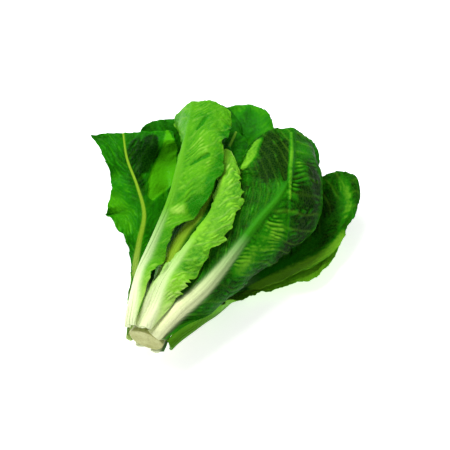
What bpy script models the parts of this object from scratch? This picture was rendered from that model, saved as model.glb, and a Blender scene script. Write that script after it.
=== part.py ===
"""A head of romaine lettuce lying on its side, cut stem to -Y and leaf tips to +Y.

Each leaf is a sheet drawn from its midrib and its two half widths. The upper leaves are laid one over
the other and the under leaves one below the other, from the heart outwards, so that they nest as they
do in a real head and no two of them meet.
"""

import math
from dataclasses import dataclass

import bmesh
import bpy
import numpy as np

MM = 0.001

# Middle of the head's footprint and height of the table, from the middle of the cut end, millimetres
ORIGIN = (4.2, 147.2, -18.6)

# The cut end and the short stem inside the head, millimetres
STEM_CENTRE_Z = 18.0
STEM_PROFILE = [(17.2, 4.6), (17.6, 7.5), (16.0, 13.0), (12.6, 22.0), (8.5, 36.0), (4.5, 52.0), (1.5, 64.0)]
STEM_SIDES = 28

# Upper leaves stay above a surface through the heart of the head, and under leaves below it, millimetres
HEART_Z_AT_BUTT = 21.0
HEART_Z_AT_TIPS = 36.0
HEART_OPENS_BY = 150.0
HEART_TILT = 0.9
HEART_TILTED_FROM_X = 6.0
HEART_TILTED_TO_Y = 60.0
HEART_EASE = 3.0
HEART_GAP = 0.7

# Leaf section, millimetres
BLADE = 0.9
LEAST_BLADE = 0.7
CLEARANCE = 0.8
BASE_WRAP = math.radians(25)
COLUMNS = np.array([-1, -0.7, -0.4, -0.14, 0, 0.14, 0.4, 0.7, 1])
SECTION_STEPS = 80
SPINE_POINTS = 240
SPINE_STEPS = 24

# Shares of a leaf's length by which its back has turned, its base has opened and its ruffle has grown
TURNED_BY = 0.6
OPENED_BY = 0.3
RUFFLED_FROM = 0.05
RUFFLED_BY = 0.35

# Shares of a leaf's half width between which its margin rolls over
ROLLED_FROM = 0.35
ROLLED_BY = 0.8

# How a rib tapers towards the tip, and how much shorter and lower the second wave of a ruffle is
RIB_TAPER = 0.7
RIPPLE_PACE = 2.1
RIPPLE_HEIGHT = 0.5

# The grid that records how far the leaves laid so far reach, millimetres
CELL = 2.0
GRID_FROM = -240.0
GRID_CELLS = 300
SAMPLES_PER_CELL = 5
LAYING_ROUNDS = 8
LAID_WITHIN = 0.2

# How closely a leaf's thickness fits between its inner face and the table it is pressed against
PRESSED = 0.9


@dataclass
class Leaf:
    """One leaf in millimetres from the middle of the cut end, its left and right as seen from its back."""

    name: str
    midrib: list
    back: tuple
    left: tuple
    right: tuple
    curls: tuple
    rib: tuple = (4.5, 1.5)
    rib_width: tuple = (7.5, 2.0)
    ruffle: float = 3.0
    waves: float = 5.0
    phase: float = 0.0
    roll: tuple = (0.0, 0.0)
    tip_round: tuple = (0.12, 0.12)
    rows: int = 19


DARK = (0.05, 0.22, 0.03)
MID = (0.12, 0.36, 0.04)
LIGHT = (0.3, 0.52, 0.1)
HEART = (0.5, 0.62, 0.2)
WHITE = (0.75, 0.78, 0.55)
LEAF_ROUGHNESS = 0.45

NARROW = (6, 9, 14, 20, 22, 16)
MEDIUM = (7, 12, 20, 30, 34, 26)
SLIM_BASE = (5, 10, 24, 38, 44, 36)

# From the heart outwards
LEAVES = [
    Leaf("heart_leaf_1", [(0, 44, 29), (2, 80, 33), (4, 130, 36), (4, 172, 39)],
         (90, 90), NARROW, NARROW, (50, 50), (3, 1.2), (5, 2), 2, 4, 0.1, rows=13),
    Leaf("heart_leaf_2", [(1, 40, 15), (-3, 80, 20), (-6, 130, 24), (-6, 186, 32)],
         (270, 270), NARROW, NARROW, (45, 45), (3, 1.2), (5, 2), 2, 4, 0.4, rows=13),
    Leaf("heart_leaf_3", [(7, 36, 27), (20, 91, 36), (32, 150, 41), (40, 205, 45)],
         (60, 75), NARROW, MEDIUM, (40, 40), (3.5, 1.2), (6, 2), 2, 4, 0.7, rows=13),
    Leaf("heart_leaf_4", [(-1, 36, 32), (4, 100, 40), (6, 170, 46), (9, 238, 56)],
         (92, 92), NARROW, MEDIUM, (45, 45), (3.5, 1.3), (6, 2), 2, 4, 0.25, rows=15),
    Leaf("heart_leaf_5", [(10, 40, 35), (34, 90, 42), (56, 150, 50), (68, 212, 54)],
         (75, 80), NARROW, MEDIUM, (45, 50), (3.5, 1.3), (6, 2), 2, 4, 0.55, rows=15),
    Leaf("inner_left_leaf", [(-4, 24, 30), (-5, 45, 42), (-3, 67, 51), (-1, 92, 58), (3, 111, 61),
                             (9, 130, 62), (10, 162, 62), (1, 215, 56)],
         (105, 95), MEDIUM, (7, 14, 24, 30, 26, 22), (85, 80), (4, 1.4), (8, 3), 2, 4, 0.5),
    Leaf("front_right_leaf", [(10, 5, 34), (16, 16, 40), (24, 32, 46), (41, 59, 56), (55, 96, 65),
                              (67, 137, 71), (78, 170, 75), (79, 201, 75), (64, 257, 65)],
         (55, 78), (8, 16, 32, 46, 54, 50), (17, 32, 44, 60, 66, 46), (45, 80), (6.5, 1.6), (8.0, 1.6),
         4, 5.0, 0.3, tip_round=(0.09, 0.2)),
    Leaf("front_centre_leaf", [(-2, 5, 36), (-1, 19, 41), (1, 53, 50), (10, 84, 56), (22, 128, 66),
                               (19, 163, 72), (8, 208, 72)],
         (92, 115), (8, 10, 6, 6, 8, 8), (8, 22, 24, 27, 22, 14), (85, 30), (5, 1.5), (8, 2.4), 3.5,
         5.0, 0.65),
    Leaf("front_left_leaf", [(-14, 5, 29), (-17, 16, 35), (-24, 52, 47), (-22, 89, 61), (-21, 128, 70),
                             (-26, 169, 76), (-32, 204, 77), (-44, 254, 64)],
         (142, 115), (10, 10, 8, 6, 15, 50), (8, 17, 19, 43, 41, 45), (85, 35), (6.5, 1.6),
         (8.5, 2.2), 4, 5.0, 0.9, tip_round=(0.0, 0.1)),
    Leaf("under_leaf_2", [(-8, 42, 14), (-13, 72, 8), (-17, 142, 4), (-24, 209, 12), (-29, 281, 46)],
         (262, 268), SLIM_BASE, (5, 8, 12, 16, 18, 16), (5, 10), (3, 1.4), (6, 2.2), 1.5, phase=0.5),
    Leaf("under_leaf_3", [(2, 44, 13), (3, 76, 6), (4, 155, 5), (8, 227, 19), (13, 293, 50)],
         (275, 272), SLIM_BASE, SLIM_BASE, (20, 20), (3, 1.4), (6, 2.2), 1.5, 4.0, 0.2,
         tip_round=(0.13, 0.08)),
    Leaf("under_leaf_4", [(9, 42, 12), (23, 80, 4), (38, 161, 2), (58, 228, 13), (76, 274, 36)],
         (290, 280), SLIM_BASE, (5, 10, 20, 30, 34, 26), (28, 5), (3, 1.4), (6, 2.2), 2, phase=0.8,
         tip_round=(0.05, 0.12)),
    Leaf("under_leaf_5", [(7, 6, 4), (11, 32, 3), (31, 68, -4), (68, 112, -9), (99, 148, -7),
                          (115, 172, -3), (123, 197, 3), (130, 220, 12), (131, 251, 30)],
         (285, 278), (12, 7, 12, 25, 30, 19), (4, 12, 26, 36, 42, 38), (45, 5), (4, 1.5), (6, 2.2), 2.5,
         4.0, 0.35, tip_round=(0.08, 0.08)),
    Leaf("under_leaf_1", [(-18, 6, 12), (-31, 42, 4), (-43, 78, 2), (-51, 110, 3), (-58, 142, 6),
                          (-76, 168, 12), (-97, 192, 19), (-112, 219, 28)],
         (212, 262), (4, 13, 22, 38, 58, 56), (7, 5, 8, 40, 23, 33), (10, 10), (4, 1.3), (4.5, 1.2), 3,
         roll=(40, 0), tip_round=(0.03, 0.0)),
    Leaf("under_leaf_0", [(-7, 6, 4), (-24, 50, -6), (-38, 97, -14), (-49, 149, -15), (-59, 198, 5),
                          (-70, 252, 30)],
         (250, 268), (4, 9, 20, 30, 34, 26), (4, 8, 12, 22, 32, 30), (0, 15), (4, 1.5), (6, 2.2), 2,
         4.0, 0.6, tip_round=(0.05, 0.05)),
    Leaf("under_leaf_6", [(24.4, 5, 22), (30.5, 18, 22), (40, 37, 17), (50, 63, 5), (60, 95, -8),
                          (77, 127, -13), (102, 163, -12), (133, 200, -2)],
         (362, 280), (12, 20, 14, 27, 42, 40), (7, 13, 24, 37, 37, 28), (25, 5), (4, 1.6), (8, 2.2), 1.5,
         5.0, 0.15, tip_round=(0.13, 0.12)),
]

COLOURS = {
    "heart_leaf_1": HEART,
    "heart_leaf_2": HEART,
    "heart_leaf_3": HEART,
    "heart_leaf_4": MID,
    "heart_leaf_5": MID,
    "inner_left_leaf": DARK,
    "front_right_leaf": DARK,
    "front_centre_leaf": LIGHT,
    "front_left_leaf": LIGHT,
    "under_leaf_0": DARK,
    "under_leaf_1": MID,
    "under_leaf_2": DARK,
    "under_leaf_3": MID,
    "under_leaf_4": DARK,
    "under_leaf_5": DARK,
    "under_leaf_6": MID,
}


def smooth_step(x, low, high):
    t = np.clip((x - low) / (high - low), 0, 1)
    return t * t * (3 - 2 * t)


def unit(vectors):
    return vectors / np.linalg.norm(vectors, axis=-1, keepdims=True)


def through(values, at):
    """A Catmull-Rom curve through evenly spaced values, read at shares of the way along."""
    v = np.array(values, float)
    v = np.concatenate([[2 * v[0] - v[1]], v, [2 * v[-1] - v[-2]]])
    place = np.asarray(at) * (len(values) - 1)
    k = np.clip(place.astype(int), 0, len(values) - 2)
    t = (place - k).reshape(place.shape + (1,) * (v.ndim - 1))
    a, b, c, d = (v[k + n] for n in range(4))
    return 0.5 * (2 * b + (c - a) * t + (2 * a - 5 * b + 4 * c - d) * t**2 + (3 * b - a - 3 * c + d) * t**3)


def even_curve(points):
    """Points spread evenly along a smooth curve through the given ones."""
    dense = through(points, np.linspace(0, 1, SPINE_STEPS * len(points)))
    run = np.concatenate([[0], np.cumsum(np.linalg.norm(np.diff(dense, axis=0), axis=1))])
    even = np.linspace(0, run[-1], SPINE_POINTS)
    return np.stack([np.interp(even, run, dense[:, k]) for k in range(3)], axis=1)


def section(v, width, turn):
    """How far each row runs sideways and inwards by |v|, its direction turning as it leaves the rib."""
    middle = (np.arange(SECTION_STEPS) + 0.5) / SECTION_STEPS
    angle = turn(middle)
    start = np.zeros((len(angle), 1))
    out = np.hstack([start, np.cumsum(np.cos(angle), axis=1)]) / SECTION_STEPS * width
    inward = np.hstack([start, np.cumsum(np.sin(angle), axis=1)]) / SECTION_STEPS * width
    place = np.abs(v) * SECTION_STEPS
    k = np.clip(place.astype(int), 0, SECTION_STEPS - 1)
    t = place - k
    return (1 - t) * out[:, k] + t * out[:, k + 1], (1 - t) * inward[:, k] + t * inward[:, k + 1]


def leaf_sheet(leaf, rows, columns):
    """The inner face of the leaf, a row of points for each share of its length, and its thickness there."""
    spine = even_curve(leaf.midrib)
    along = unit(np.gradient(spine, axis=0))
    share = np.linspace(0, 1, len(spine))
    look = np.radians(leaf.back[0] + (leaf.back[1] - leaf.back[0]) * smooth_step(share, 0, TURNED_BY))
    back = np.stack([np.cos(look), 0 * look, np.sin(look)], axis=1)
    back = unit(back - along * (back * along).sum(axis=1, keepdims=True))
    side = np.cross(along, back)

    def at(table, u):
        return np.stack([np.interp(u, share, table[:, k]) for k in range(3)], axis=-1)

    u = rows[:, None]
    opened = smooth_step(u, 0, OPENED_BY)
    sheet = np.zeros((len(rows), len(columns), 3))
    thick = np.zeros((len(rows), len(columns)))
    for half, sign in enumerate((-1, 1)):
        chosen = columns * sign >= 0
        v = np.abs(columns[chosen])
        width = through((leaf.left, leaf.right)[half], rows)[:, None]
        curl = BASE_WRAP * (1 - opened) + math.radians(leaf.curls[half]) * opened
        roll = math.radians(leaf.roll[half]) * opened
        out, inward = section(v, width, lambda v: curl * v + roll * smooth_step(v, ROLLED_FROM, ROLLED_BY))
        reach = u - leaf.tip_round[half] * u**4 * v**2.4
        wave = np.sin(2 * math.pi * (leaf.waves * u + leaf.phase + 0.37 * half))
        wave = wave + RIPPLE_HEIGHT * np.sin(2 * math.pi * (RIPPLE_PACE * leaf.waves * u + 2 * leaf.phase))
        lift = leaf.ruffle * wave * v**2.2 * smooth_step(u, RUFFLED_FROM, RUFFLED_BY)
        place = at(spine, reach) + sign * out[..., None] * at(side, reach)
        sheet[:, chosen] = place + (lift - inward)[..., None] * at(back, reach)
        rib = leaf.rib[0] + (leaf.rib[1] - leaf.rib[0]) * u**RIB_TAPER
        rib_width = leaf.rib_width[0] + (leaf.rib_width[1] - leaf.rib_width[0]) * u**RIB_TAPER
        thick[:, chosen] = BLADE + (rib - BLADE) * np.exp(-((v * width / rib_width) ** 2))
    return sheet, thick


def sheet_normals(sheet):
    return unit(np.cross(np.gradient(sheet, axis=1), np.gradient(sheet, axis=0)))


def heart_z(x, y):
    """Height of the heart surface: rising to the tips, and tilted up on the right near the cut end."""
    level = HEART_Z_AT_BUTT + (HEART_Z_AT_TIPS - HEART_Z_AT_BUTT) * smooth_step(y, 0, HEART_OPENS_BY)
    tilted = np.maximum(x - HEART_TILTED_FROM_X, 0) * (1 - smooth_step(y, 0, HEART_TILTED_TO_Y))
    return level + HEART_TILT * tilted


def keep_side(sheet, up):
    """Eases whatever would cross the heart surface back to the leaf's own side of it."""
    x, y, z = np.moveaxis(sheet, -1, 0)
    heart = heart_z(x, y)
    kept = HEART_GAP + HEART_EASE * np.logaddexp(0, up * (z - heart) / HEART_EASE)
    return np.stack([x, y, heart + up * kept], axis=-1)


def refine(grid):
    """Points spread evenly over the two flat triangles of each cell of a sheet."""
    t = np.linspace(0, 1, SAMPLES_PER_CELL)
    u, v = (a.reshape(-1, 1, 1) for a in np.meshgrid(t, t, indexing="ij"))
    corners = (grid[:-1, :-1], grid[:-1, 1:], grid[1:, :-1], grid[1:, 1:])
    near, right, far, across = (c.reshape(1, -1, 3) for c in corners)
    one = near + v * (right - near) + u * (across - right)
    other = near + u * (far - near) + v * (across - far)
    return np.where(v > u, one, other)


class Pile:
    """How far up, or down, the leaves laid so far reach over each cell of the table."""

    def __init__(self, up):
        self.up = up
        self.reach = np.full((GRID_CELLS, GRID_CELLS), -np.inf)

    def cells(self, points):
        return tuple(np.round((points[..., k] - GRID_FROM) / CELL).astype(int) for k in (0, 1))

    def add(self, points):
        i, j = self.cells(points)
        for di in (-1, 0, 1):
            for dj in (-1, 0, 1):
                np.maximum.at(self.reach, (i + di, j + dj), self.up * points[..., 2])

    def lift(self, points):
        """How far each point has to move to clear the pile."""
        return np.maximum(self.reach[self.cells(points)] + CLEARANCE - self.up * points[..., 2], 0)


def neighbours(grid):
    padded = np.pad(grid, 1, mode="edge")
    rows, columns = grid.shape
    return np.stack([padded[i:i + rows, j:j + columns] for i in range(3) for j in range(3)])


def soften(grid):
    weights = np.array([1, 2, 1, 2, 4, 2, 1, 2, 1]).reshape(-1, 1, 1) / 16
    return (neighbours(grid) * weights).sum(axis=0)


def lay(sheet, thick, pile):
    """Moves a sheet out until it clears the pile everywhere, then adds it to the pile."""
    for _ in range(LAYING_ROUNDS):
        need = pile.lift(refine(sheet)).max(axis=0).reshape(sheet.shape[0] - 1, sheet.shape[1] - 1)
        if need.max() <= LAID_WITHIN:
            break
        move = neighbours(np.pad(need, ((0, 1), (0, 1)), mode="edge")).max(axis=0)
        move = np.maximum(move, soften(soften(move)))
        sheet = sheet + move[..., None] * (0, 0, pile.up)
    pile.add(refine(sheet))
    pile.add(refine(sheet + sheet_normals(sheet) * thick[..., None]))
    return sheet


def plant_material(name, colour):
    material = bpy.data.materials.new(name)
    material.use_nodes = True
    shader = material.node_tree.nodes["Principled BSDF"]
    shader.inputs["Base Color"].default_value = (*colour, 1)
    shader.inputs["Roughness"].default_value = LEAF_ROUGHNESS
    return material


def make_leaf(leaf, sheet, thick, collection):
    """The laid sheet, thickened outwards and flattened where it rests on the table."""
    rows, columns = sheet.shape[:2]
    bm = bmesh.new()
    bmesh.ops.create_grid(bm, x_segments=columns - 1, y_segments=rows - 1, size=1)
    places = []
    for vertex in bm.verts:
        place = round((vertex.co.y + 1) / 2 * (rows - 1)), round((vertex.co.x + 1) / 2 * (columns - 1))
        places.append(place)
        vertex.co = (sheet[place] - ORIGIN) * MM
    bmesh.ops.triangulate(bm, faces=bm.faces, quad_method="FIXED")
    mesh = bpy.data.meshes.new(leaf.name)
    bm.to_mesh(mesh)
    bm.free()
    obj = bpy.data.objects.new(leaf.name, mesh)
    collection.objects.link(obj)
    group = obj.vertex_groups.new(name="thickness")
    most = thick.max() * MM
    for vertex, normal, place in zip(mesh.vertices, mesh.vertex_normals, places):
        wanted = thick[place] * MM
        if normal.vector.z < 0:
            room = vertex.co.z / -normal.vector.z
            wanted = min(wanted, max(room, LEAST_BLADE * MM))
        group.add([vertex.index], wanted / most, "REPLACE")
    shell = obj.modifiers.new("leaf thickness", "SOLIDIFY")
    shell.thickness = most
    shell.offset = 1
    shell.vertex_group = group.name
    mesh.materials.append(plant_material(leaf.name, COLOURS[leaf.name]))
    mesh.shade_smooth()
    return obj


def make_stem(collection):
    """The short stem that every leaf grows from, turned about the head's axis."""
    mesh = bpy.data.meshes.new("stem")
    profile = [(0.0, STEM_PROFILE[0][1])] + STEM_PROFILE + [(0.0, STEM_PROFILE[-1][1] + 1.5)]
    points = [(radius * MM, y * MM, 0) for radius, y in reversed(profile)]
    mesh.from_pydata(points, [(i, i + 1) for i in range(len(points) - 1)], [])
    obj = bpy.data.objects.new("stem", mesh)
    collection.objects.link(obj)
    obj.location = [(a - b) * MM for a, b in zip((0, 0, STEM_CENTRE_Z), ORIGIN)]
    turn = obj.modifiers.new("turned", "SCREW")
    turn.axis = "Y"
    turn.steps = turn.render_steps = STEM_SIDES
    turn.use_merge_vertices = True
    turn.merge_threshold = 0.00005
    mesh.materials.append(plant_material("stem", WHITE))
    return obj


def stem_points():
    """Points all over the stem, which both piles start with."""
    radius, y = np.array(STEM_PROFILE).T
    fine = np.linspace(y[0] - 2, y[-1], 60)
    turn = np.linspace(0, 2 * math.pi, 181)
    r = np.interp(fine, y, radius)[:, None]
    x = r * np.cos(turn)
    z = STEM_CENTRE_Z + r * np.sin(turn)
    return np.stack([x, np.broadcast_to(fine[:, None], x.shape), z], axis=-1)


def main():
    for obj in list(bpy.data.objects):
        bpy.data.objects.remove(obj, do_unlink=True)
    head = bpy.data.collections.new("romaine lettuce head")
    bpy.context.scene.collection.children.link(head)
    make_stem(head)
    piles = {1: Pile(1), -1: Pile(-1)}
    for pile in piles.values():
        pile.add(stem_points())
    for leaf in LEAVES:
        sheet, thick = leaf_sheet(leaf, np.linspace(0, 1, leaf.rows), COLUMNS)
        up = 1 if math.sin(math.radians(leaf.back[1])) > 0 else -1
        sheet = lay(keep_side(sheet, up), thick, piles[up])
        sheet[..., 2] = np.maximum(sheet[..., 2], ORIGIN[2] + PRESSED * thick)
        make_leaf(leaf, sheet, thick, head)


main()
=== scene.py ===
"""A head of romaine lettuce as it looks.

Every leaf is grown again along the midrib of its solid, with ribs, pleats, blisters and a frilled edge.
"""

import math
from dataclasses import dataclass, field

import bmesh
import bpy
import numpy as np
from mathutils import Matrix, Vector


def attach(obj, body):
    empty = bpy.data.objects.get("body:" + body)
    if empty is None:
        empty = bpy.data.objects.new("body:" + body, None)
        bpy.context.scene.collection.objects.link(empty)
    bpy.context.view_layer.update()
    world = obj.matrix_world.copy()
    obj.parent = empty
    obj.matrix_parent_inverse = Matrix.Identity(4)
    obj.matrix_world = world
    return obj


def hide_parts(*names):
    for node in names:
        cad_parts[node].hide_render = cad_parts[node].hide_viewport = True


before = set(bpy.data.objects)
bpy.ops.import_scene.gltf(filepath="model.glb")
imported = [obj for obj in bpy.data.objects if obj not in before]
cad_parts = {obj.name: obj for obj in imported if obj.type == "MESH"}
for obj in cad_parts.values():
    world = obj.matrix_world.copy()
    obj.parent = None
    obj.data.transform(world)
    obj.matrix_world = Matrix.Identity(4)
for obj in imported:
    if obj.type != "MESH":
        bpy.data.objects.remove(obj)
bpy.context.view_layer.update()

MM = 0.001

# Middle of the head's footprint and height of the table, from the middle of the cut end, millimetres
ORIGIN = (4.2, 147.2, -18.6)

# The cut end and the short stem inside the head, millimetres
STEM_CENTRE_Z = 18.0
STEM_PROFILE = [(17.2, 4.6), (17.6, 7.5), (16.0, 13.0), (12.6, 22.0),
                (8.5, 36.0), (4.5, 52.0), (1.5, 64.0)]
STEM_TURNS = 96
STEM_RINGS = 30
CUT_RINGS = 9
CUT_DOME = 0.5

# Upper leaves stay above a surface through the heart of the head, and under leaves below it, millimetres
HEART_Z_AT_BUTT = 21.0
HEART_Z_AT_TIPS = 36.0
HEART_OPENS_BY = 150.0
HEART_TILT = 0.9
HEART_TILTED_FROM_X = 6.0
HEART_TILTED_TO_Y = 60.0
HEART_EASE = 3.0
HEART_GAP = 0.7

# Leaf section, millimetres
BLADE = 0.9
CLEARANCE = 0.8
BASE_WRAP = math.radians(25)
COLUMNS = np.array([-1, -0.7, -0.4, -0.14, 0, 0.14, 0.4, 0.7, 1])
SECTION_STEPS = 80
SPINE_POINTS = 240
SPINE_STEPS = 24

# Shares of a leaf's length by which its back has turned, its base has opened and its ruffle has grown
TURNED_BY = 0.6
OPENED_BY = 0.3
RUFFLED_FROM = 0.05
RUFFLED_BY = 0.35

# Shares of a leaf's half width between which its margin rolls over
ROLLED_FROM = 0.35
ROLLED_BY = 0.8

# How a rib tapers, how far the ruffles of the two halves are shifted, and how their second wave differs
RIB_TAPER = 0.7
HALVES_APART = 0.37
RIPPLE_PACE = 2.1
RIPPLE_HEIGHT = 0.5

# How the leaves are laid, millimetres
GRID_FROM = -240.0
GRID_SPAN = 600.0
CELL = 2.0
FINE_CELL = 1.2
SAMPLES_PER_CELL = 5
LAYING_ROUNDS = 8
LAID_WITHIN = 0.2
PRESSED = 0.9
FINE_CLEARANCE = 0.25
THIN_BLADE = 0.55

# Rounds in which moves are spread and softened over a sheet, and steps in which its thickness is stored
MOVE_SOFTENED = 12
FINE_ROUNDS = 3
FINE_SPREAD = 2
FINE_SOFTENED = 6
THICKNESS_LEVELS = 200

# Powers of a share of the way along or across, which keep a form near the tip or near the edge
ROUND_NEAR_TIP = 4
ROUND_NEAR_EDGE = 2.4
RUFFLE_NEAR_EDGE = 2.2
GROWN_NEAR_EDGE = 4
GROWN_NEAR_TIP = 14
FRILL_NEAR_TIP = 10

# Lobes and hooked teeth of an edge: lengths in millimetres, and the middle of what their noise gives
LOBE_LONG = 17.0
LOBE_SHORT = 7.0
LOBE_MIDDLE = 0.75
TOOTH_DRIFT = 1.2
TOOTH_DRIFT_LONG = 13.0
HOOK_MIDDLE = 0.4
HOOK_REACH = 1 - HOOK_MIDDLE
TOOTHED_STRETCH = 15.0

# The pale rib on the inner face, as shares of the solid's rib width, and where the blade starts beside it
RIB_FACE = 1.2
RIB_FACE_TAPER = 0.75
BLADE_FROM = 0.6
BLADE_BY = 1.3
BLADE_MARGIN = 2.0
FURROW = 0.1
FURROW_EVERY = 2.6

# Side veins, millimetres: their spacing, bend, width at the edge and at the rib, and how they sway
VEIN_EVERY = 17.0
VEIN_SLANT = 1.4
VEIN_BEND = 0.006
VEIN_WIDTH = 0.5
VEIN_WIDER = 0.9
VEIN_HEIGHT = 0.3
VEIN_FAINTEST = 0.35
BROAD_SWAY = 14.0
SMALL_SWAY = 7.0
PATH_SWAY = 5.0
PATH_QUIVER = 2.5

# Pleats along the veins and blisters between them
PLEAT_HEIGHT = 1.5
PLEAT_LOSS = 0.7
BLISTER_WIDER = 1.25
BLISTER_MIDDLE = 0.35
BLISTER_LEAST = 0.5
BLISTER_MORE = 0.9
LOW_BLISTER = 0.2
BLISTER_EDGE = 0.9

# Frill of the margin and waves of the tip, millimetres
FRILL = 1.6
FRILL_WAVE = 24.0
FRILL_RIPPLE = 0.4
FRILL_RIPPLE_PACE = 2.7
TIP_WAVE = 26.0
TIP_FRILL = 0.5

# How much each thing lightens the blade, and how strongly veins and the fine net show
# The first of these paints light on the crests of pleats and blisters, and shade in their hollows
RELIEF_SHADING = 0.35
CLOUD_TONE = 0.8
FLECK_TONE = 0.35
EDGE_TONE = 0.10
EDGE_TONED_FROM = 0.93
TIP_TONED_OVER = 60.0
VEIN_TINT = 0.18
NET_TINT = 0.08
NET_SHARPNESS = 7.0
PALE_BASE_PACE = 3.0

# A rib turns from its base colour to its tip colour along the leaf, and shows this strongly
RIB_GREENS_PACE = 2.6
RIB_GREENS_LATE = 0.25
RIB_COVER = 1.6

# Noise over a leaf, in waves per millimetre, and over the cut end, in waves per metre
CLOUD_SCALE = 0.04
FLECK_SCALE = 0.30
NET_SCALE = 0.40
CUT_CLOUD_SCALE = 90.0
CUT_SPECK_SCALE = 420.0

# Gloss, and depth of the fine relief in metres
SPECULAR = 0.03
GLOSS_FLECKS = 0.25
LEAF_BUMP = 0.00035
CUT_BUMP = 0.0006
CUT_ROUGHNESS = 0.55

# Sockets of a Mix node that mixes colours
MIX_LOW, MIX_HIGH, MIX_OUT = 6, 7, 2

# Room, metres and watts
PAPER = (0.93, 0.93, 0.93)
FLOOR_HALF = 4.0
FLOOR_DROP = 0.0002
FLOOR_GLOW = 0.62
WORLD_LIGHT = 0.42
KEY_PLACE = (-0.45, 0.2, 1.0)
KEY_TARGET = (0, 0, 0.04)
KEY_SIZE = 0.7
KEY_POWER = 14.0

# Camera: degrees and metres, but its target in the leaves' millimetres, and the lens in millimetres
CAMERA_AZIMUTH = 20
CAMERA_ELEVATION = 60
CAMERA_DISTANCE = 1.2
CAMERA_TARGET = (31.0, 142.0, 35.0)
SENSOR = 36
LENS = 96


@dataclass
class Look:
    """How a leaf's surface grows and is coloured. Millimetres, left and right as seen from its back.

    The shades are dark, middle and light, and the tone is a place between them from 0 to 1. The slope is
    how far side veins run on towards the tip for each millimetre away from the rib. The quilt is the
    height of the blisters, and lobes and teeth are how far they stand out of the edge.
    """

    shades: tuple
    tone: float
    rib_base: tuple = (0.72, 0.80, 0.50)
    rib_tip: tuple = (0.20, 0.50, 0.03)
    rib_end: float = 1.2
    pale_base: float = 0.0
    mesh: tuple = (130, 60)
    pleat: tuple = (0.4, 0.4)
    spacing: float = 6.0
    slope: tuple = (1.0, 1.0)
    quilt: float = 0.9
    quilt_size: float = 7.0
    lobes: float = 2.0
    teeth: float = 1.0
    tooth: float = 9.0
    marks: list = field(default_factory=list)
    gloss: float = 0.36


@dataclass
class Leaf:
    """One leaf in millimetres from the middle of the cut end, left and right as seen from its back."""

    name: str
    midrib: list
    back: tuple
    left: tuple
    right: tuple
    curls: tuple
    rib: tuple
    rib_width: tuple
    ruffle: float
    waves: float = 5.0
    phase: float = 0.0
    roll: tuple = (0.0, 0.0)
    tip_round: tuple = (0.12, 0.12)
    rows: int = 19


NARROW = (6, 9, 14, 20, 22, 16)
MEDIUM = (7, 12, 20, 30, 34, 26)
SLIM_BASE = (5, 10, 24, 38, 44, 36)

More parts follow.
